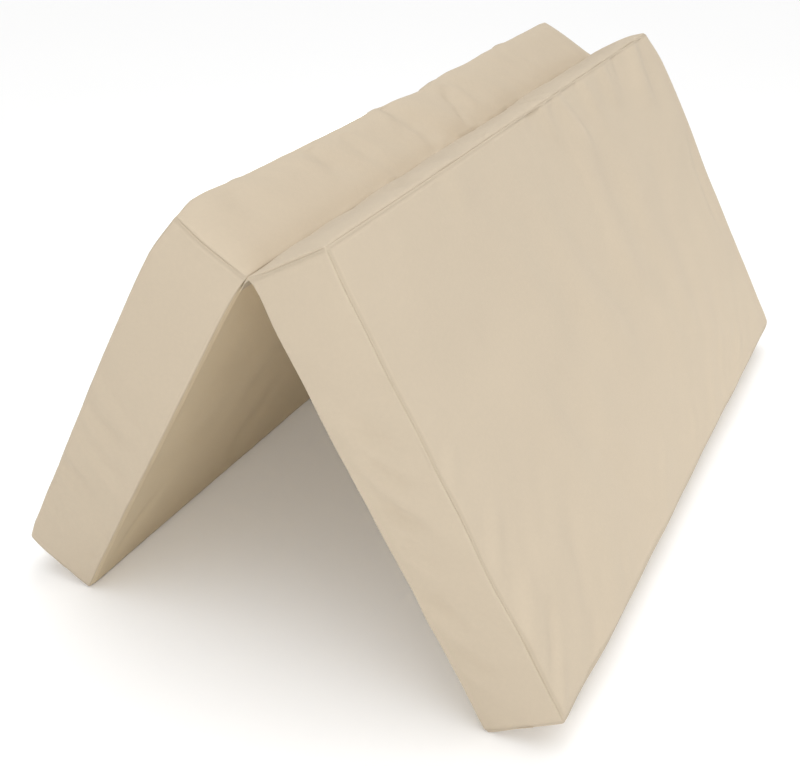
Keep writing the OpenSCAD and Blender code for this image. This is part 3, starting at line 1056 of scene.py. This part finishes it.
# --- materials ---
class Graph:
    """A short way to write a material's nodes."""

    def __init__(self, name):
        self.material = bpy.data.materials.new(name)
        self.material.use_nodes = True
        self.tree = self.material.node_tree
        self.shader = next(n for n in self.tree.nodes if n.type == "BSDF_PRINCIPLED")
        self.solid = self.node("ShaderNodeTexCoord").outputs["Object"]

    def node(self, kind, inputs=None, **settings):
        made = self.tree.nodes.new(kind)
        for key, value in settings.items():
            setattr(made, key, value)
        for key, value in (inputs or {}).items():
            self.feed(made.inputs[key], value)
        return made

    def feed(self, socket, value):
        if isinstance(value, bpy.types.NodeSocket):
            self.tree.links.new(value, socket)
        else:
            socket.default_value = value

    def math(self, operation, first, second=0.0, third=0.0):
        made = self.node("ShaderNodeMath", {0: first, 1: second, 2: third}, operation=operation)
        return made.outputs[0]

    def noise(self, scale, detail=2.0, roughness=0.5):
        inputs = {"Vector": self.solid, "Scale": scale, "Detail": detail, "Roughness": roughness}
        return self.node("ShaderNodeTexNoise", inputs).outputs["Fac"]

    def mix(self, factor, first, second):
        inputs = {0: factor, 6: first, 7: second}
        return self.node("ShaderNodeMix", inputs, data_type="RGBA").outputs[2]

    def ramp(self, value, low, high, to_low, to_high):
        inputs = {"Value": value, "From Min": low, "From Max": high, "To Min": to_low, "To Max": to_high}
        return self.node("ShaderNodeMapRange", inputs).outputs[0]

    def finish(self, base, rough, relief, strength, depth, **others):
        """Feeds the shader its colour, roughness and bump, and sets its other sockets."""
        bump = self.node("ShaderNodeBump", {"Strength": strength, "Distance": depth, "Height": relief})
        sockets = {"Base Color": base, "Roughness": rough, "Normal": bump.outputs[0]}
        sockets.update({name.replace("_", " "): value for name, value in others.items()})
        for name, value in sockets.items():
            self.feed(self.shader.inputs[name], value)
        return self.material


def shade(colour, factor):
    return tuple(min(1.0, c * factor) for c in colour) + (1.0,)


def weave_height(graph, u, v, pitch):
    """A plain weave: round threads that pass over and under each other."""
    turn_u = graph.math("SINE", graph.math("MULTIPLY", u, math.pi / pitch))
    turn_v = graph.math("SINE", graph.math("MULTIPLY", v, math.pi / pitch))
    over = graph.math("GREATER_THAN", graph.math("MULTIPLY", turn_u, turn_v), 0.0)
    warp, weft = graph.math("ABSOLUTE", turn_u), graph.math("ABSOLUTE", turn_v)
    difference = graph.math("SUBTRACT", warp, weft)
    return graph.math("MULTIPLY_ADD", difference, over, weft), over


def fabric_material(name, colour, pitch, painted_seam_shade, groove_shade_tint):
    """Plain woven cloth with slubs, with painted shade in its seam grooves and between its threads."""
    graph = Graph(name)
    weave = graph.node("ShaderNodeAttribute", attribute_name="weave").outputs["Vector"]
    seam = graph.node("ShaderNodeAttribute", attribute_name="seam").outputs["Fac"]
    parts = graph.node("ShaderNodeSeparateXYZ", {0: weave})
    height, over = weave_height(graph, parts.outputs[0], parts.outputs[1], pitch)
    slub, fibre = graph.noise(160.0, 3.0), graph.noise(1500.0)
    cloud, patch = graph.noise(2.6), graph.noise(14.0, 3.0)
    base = graph.mix(graph.ramp(cloud, 0.3, 0.7, 0, 1), shade(colour, 0.99), shade(colour, 1.012))
    # A darker, warmer copy of the colour, for the painted shade in the seam grooves.
    groove_shade_colour = tuple(c * w for c, w in zip(colour, groove_shade_tint))
    for factor, tint in (
        (graph.ramp(patch, 0.35, 0.65, 0, 0.3), shade(colour, 0.975)),
        (graph.math("MULTIPLY", over, 0.22), shade(colour, 0.93)),
        (graph.ramp(slub, 0.35, 0.7, 0, 0.4), shade(colour, 1.05)),
        # Painted shade: the low gaps between the threads are darker.
        (graph.ramp(height, 0.0, 0.5, 0.22, 0.0), shade(colour, 0.7)),
        # Painted shade in the seam grooves: darker where the groove is deeper.
        (graph.math("MULTIPLY", seam, painted_seam_shade), shade(groove_shade_colour, 0.62)),
    ):
        base = graph.mix(factor, base, tint)
    rough = graph.ramp(slub, 0.3, 0.7, 0.78, 0.92)
    relief = graph.math("MULTIPLY_ADD", fibre, 0.35, height)
    relief = graph.math("MULTIPLY_ADD", slub, 0.8, relief)
    return graph.finish(base, rough, relief, 0.5, 0.12 * MM, Sheen_Weight=0.06,
                        Sheen_Roughness=0.45, Specular_IOR_Level=0.15)


def foam_material(colour):
    """Open-cell foam: small dark pores in a soft yellowish body."""
    graph = Graph("foam_material")
    cells = graph.node("ShaderNodeTexVoronoi", {"Vector": graph.solid, "Scale": 900.0}).outputs["Distance"]
    cloud = graph.ramp(graph.noise(9.0, 3.0), 0.3, 0.7, 0, 1)
    base = graph.mix(cloud, shade(colour, 0.93), shade(colour, 1.0))
    base = graph.mix(graph.ramp(cells, 0.1, 0.55, 0.0, 1.0), shade(colour, 0.72), base)
    return graph.finish(base, graph.ramp(cells, 0, 0.6, 0.95, 0.82), cells, 0.6, 0.4 * MM)


def thread_material(name, colour):
    """Twisted sewing thread."""
    graph = Graph(name)
    ply = graph.noise(2600.0, 1.0)
    length = graph.ramp(graph.noise(60.0), 0.4, 0.7, 0, 0.3)
    base = graph.mix(graph.ramp(ply, 0.3, 0.7, 0, 1), shade(colour, 0.8), shade(colour, 1.04))
    base = graph.mix(length, base, shade(colour, 0.9))
    rough = graph.ramp(ply, 0.2, 0.8, 0.5, 0.7)
    return graph.finish(base, rough, ply, 0.5, 0.06 * MM, Sheen_Weight=0.1)


def nylon_material(colour):
    """The smooth nylon wire of the zip's coil."""
    graph = Graph("coil_material")
    fine = graph.noise(1900.0)
    broad = graph.ramp(graph.noise(25.0), 0.3, 0.7, 0, 1)
    base = graph.mix(broad, shade(colour, 0.92), shade(colour, 1.05))
    base = graph.mix(graph.ramp(fine, 0.4, 0.7, 0, 0.25), base, shade(colour, 0.8))
    return graph.finish(base, graph.ramp(fine, 0.3, 0.7, 0.3, 0.45), fine, 0.25, 0.03 * MM)


def metal_material(colour):
    """Matt plated die-cast metal, a little brighter where it is rubbed."""
    graph = Graph("zip_metal_material")
    grain, rub = graph.noise(3200.0, 3.0), graph.noise(330.0, 4.0, 0.65)
    base = graph.mix(graph.ramp(grain, 0.3, 0.7, 0, 1), shade(colour, 0.9), shade(colour, 1.1))
    base = graph.mix(graph.ramp(rub, 0.52, 0.7, 0, 0.5), base, shade(colour, 1.45))
    rough = graph.ramp(rub, 0.35, 0.7, 0.42, 0.26)
    return graph.finish(base, rough, grain, 0.3, 0.04 * MM, Metallic=1.0)


def slot_colour(slot):
    return tuple(next(m["base_color"] for m in frame["record"]["materials"] if m["slot"] == slot))


COVER_DEPTH = (0.79, 0.775, 0.745)
# The inner faces take a lighter, warmer copy of the cover colour: painted light for the inside of the tent, which
# stands in shade.
INNER_PAINTED_LIGHT = (1.19, 1.165, 1.06)


def make_materials():
    cover = tuple(c * d for c, d in zip(slot_colour("cover_fabric"), COVER_DEPTH))
    inner = tuple(c * w for c, w in zip(cover, INNER_PAINTED_LIGHT))
    return {
        "cover": fabric_material("cover_material", cover, 0.9 * MM, 0.3, (1.0, 0.97, 0.94)),
        # The inner faces' material is a lit copy of the cover: painted light.
        "inner": fabric_material("inner_cover_material", inner, 0.9 * MM, 0.26, (1.0, 0.97, 0.94)),
        "tape": fabric_material("tape_material", slot_colour("zip_tape"), 0.7 * MM, 0.4, (1.0, 0.98, 0.95)),
        "foam": foam_material(slot_colour("foam")),
        "thread": thread_material("thread_material", tuple(c * 0.93 for c in cover)),
        "coil": nylon_material(slot_colour("zip_coil")),
        "metal": metal_material(slot_colour("zip_metal")),
    }


# --- the object ---
def dress(obj, material, body=None):
    obj.data.materials.clear()
    obj.data.materials.append(material)
    if body:
        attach(obj, body)
    return obj


# The hinge sides bulge at rest.
# Small moulded and cast parts of a zip: the body each rides on, and the width of its rounded edges.
ZIP_PARTS = {
    "zip_stops_closed_end": ("half", 0.25), "zip_box_open_end": ("half", 0.3),
    "zip_slider": ("zip_slider", 0.3), "zip_pull": ("zip_pull", 0.3),
}


def build_half(half, seed, materials):
    side = half.side
    foam = dress(foam_object(half), materials["foam"], half.body)
    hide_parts(f"foam_core_{side}")
    simulated = simulate_cover(half, seed)
    panels = make_panels(half)
    for k, panel in enumerate(panels):
        shape_panel(panel, simulated, seed + 100 * k)
        # The inner face takes the lighter copy of the cover colour, which is painted light.
        fabric = materials["inner" if panel.name == "cover_inner_face" else "cover"]
        obj = dress(panel_object(panel), fabric, half.body)
        if panel.name == "boxing_hinge_side":
            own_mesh(obj)
        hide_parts(f"{panel.name}_{side}")
    dress(cover_stitches(half, panels), materials["thread"], half.body)
    dress(hinge_stitches(half), materials["thread"], half.body)
    for name in ("outer", "inner"):
        tape = dress(tape_object(half, name), materials["tape"], half.body)
        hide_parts(f"zip_tape_{name}_{side}")
        low, high = half.node_box(f"zip_tape_{name}_{side}")
    coil = dress(coil_object(half), materials["coil"], half.body)
    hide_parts(f"zip_coil_{side}")
    for name, (body, width) in ZIP_PARTS.items():
        piece = rounded_copy(f"{name}_{side}", f"metal_{name}_{side}", width * MM)
        dress(piece, materials["metal"], f"{side}_{body}")
        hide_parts(f"{name}_{side}")


def build_hinge(halves, materials):
    tape = dress(hinge_tape_object(halves), materials["cover"])
    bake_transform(tape)
    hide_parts("hinge_tape_left", "hinge_tape_right")


# --- the studio ---
STUDIO_RADIUS = 24.0
STUDIO_SIDES = 96


def turned(radii, heights):
    """Vertices and faces of a surface turned about the vertical axis, closed at its first ring."""
    angle = np.arange(STUDIO_SIDES) * 2 * math.pi / STUDIO_SIDES
    radii, heights = np.array(radii)[:, None], np.array(heights)[:, None]
    rings = np.stack([radii * np.cos(angle), radii * np.sin(angle), heights + 0 * angle], axis=-1)
    faces = [tuple(range(STUDIO_SIDES))] + ring_faces(len(radii), STUDIO_SIDES, flip=True)
    return rings.reshape(-1, 3), faces


def stage_piece(name, radii, heights, smooth, tinted, tints, scale, detail, **sockets):
    """A turned piece of the studio, with a faint cloudy tint on one socket of its shader."""
    piece = make_object(f"studio_{name}", *turned(radii, heights), smooth=smooth)
    graph = Graph(f"{name}_material")
    low, high = (tuple(tint) + (1,) for tint in tints)
    graph.feed(graph.shader.inputs[tinted], graph.mix(graph.noise(scale, detail), low, high))
    for socket, value in sockets.items():
        graph.shader.inputs[socket.replace("_", " ")].default_value = value
    piece.data.materials.append(graph.material)
    return piece


def make_backdrop():
    """A pale dome behind everything, which the camera sees and which casts no light or shadow."""
    elevation = np.radians(np.linspace(89.5, -1, 40))
    dome = stage_piece(
        "backdrop", STUDIO_RADIUS * np.cos(elevation), STUDIO_RADIUS * np.sin(elevation), True,
        "Emission Color", ([0.948] * 3, [0.958] * 3), 0.05, 1.0,
        Base_Color=(0, 0, 0, 1), Specular_IOR_Level=0, Emission_Strength=1.0,
    )
    dome.visible_diffuse = dome.visible_glossy = dome.visible_transmission = dome.visible_shadow = False


def make_floor():
    """A round, nearly white floor that glows faintly, so that its shadows stay soft."""
    stage_piece(
        "floor", np.geomspace(0.05, STUDIO_RADIUS, 30), np.zeros(30), False,
        "Base Color", ([0.975, 0.975, 0.973], [0.985, 0.985, 0.983]), 1.5, 2.0, Roughness=0.9,
        Specular_IOR_Level=0.1, Emission_Color=(1, 1, 1, 1), Emission_Strength=0.03,
    )


def area_light(name, place, aim, size, power, tall=None):
    """A soft light: a disc of the given size, or a strip that lies level and is `tall` high."""
    data = bpy.data.lights.new(name, "AREA")
    data.shape, data.size, data.energy = "RECTANGLE" if tall else "DISK", size, power
    data.size_y = tall or size
    obj = place_object(name, data, place, Vector(aim) - Vector(place))
    obj.visible_camera = False


def sun_light(name, towards, strength, spread):
    """Even light over the whole floor, from a wide patch of sky."""
    data = bpy.data.lights.new(name, "SUN")
    data.energy, data.angle = strength, math.radians(spread)
    place_object(name, data, along=towards, track="Z")


def make_studio():
    make_floor()
    make_backdrop()
    world = bpy.data.worlds.new("studio_world")
    bpy.context.scene.world = world
    world.use_nodes = True
    background = world.node_tree.nodes["Background"]
    background.inputs["Color"].default_value = (1, 1, 1, 1)
    background.inputs["Strength"].default_value = 0.52
    sun_light("sky_light", (0.13, 0.0, 1.0), 1.37, 60)
    area_light("top_light", (0.1, 0.3, 2.6), (0.0, 0.1, 0.4), 1.4, 7)
    area_light("key_light", (0.9, -3.2, 1.9), (0.2, 0, 0.3), 0.7, 31)
    area_light("side_light", (1.6, 0.35, 0.16), (0.4, 0.1, 0.15), 1.6, 3.7, tall=0.3)
    area_light("back_light", (-1.9, 0.5, 0.2), (-0.4, 0.0, 0.2), 1.6, 4.2, tall=0.3)
    area_light("rear_light", (-1.3, 2.0, 0.3), (-0.1, 0.5, 0.3), 0.8, 7)


CAMERA_AZIMUTH = 26.65
CAMERA_ELEVATION = 28.63
CAMERA_DISTANCE = 2.2475
CAMERA_TARGET = (-0.1278, 0.001, 0.0980)
CAMERA_LENS = 51.35


def make_camera():
    azimuth, elevation = math.radians(CAMERA_AZIMUTH), math.radians(CAMERA_ELEVATION)
    back = Vector((
        math.sin(azimuth) * math.cos(elevation), -math.cos(azimuth) * math.cos(elevation), math.sin(elevation)
    ))
    data = bpy.data.cameras.new("camera")
    data.sensor_width, data.lens = 36.0, CAMERA_LENS
    data.clip_start, data.clip_end = 0.05, 60
    place = Vector(CAMERA_TARGET) + back * CAMERA_DISTANCE
    bpy.context.scene.camera = place_object("camera", data, place, -back)


bpy.context.scene.view_settings.view_transform = "Standard"
materials = make_materials()
halves = {side: Half(side) for side in SIDES}
for k, side in enumerate(SIDES):
    build_half(halves[side], 11 + 37 * k, materials)
build_hinge(halves, materials)
make_studio()
make_camera()
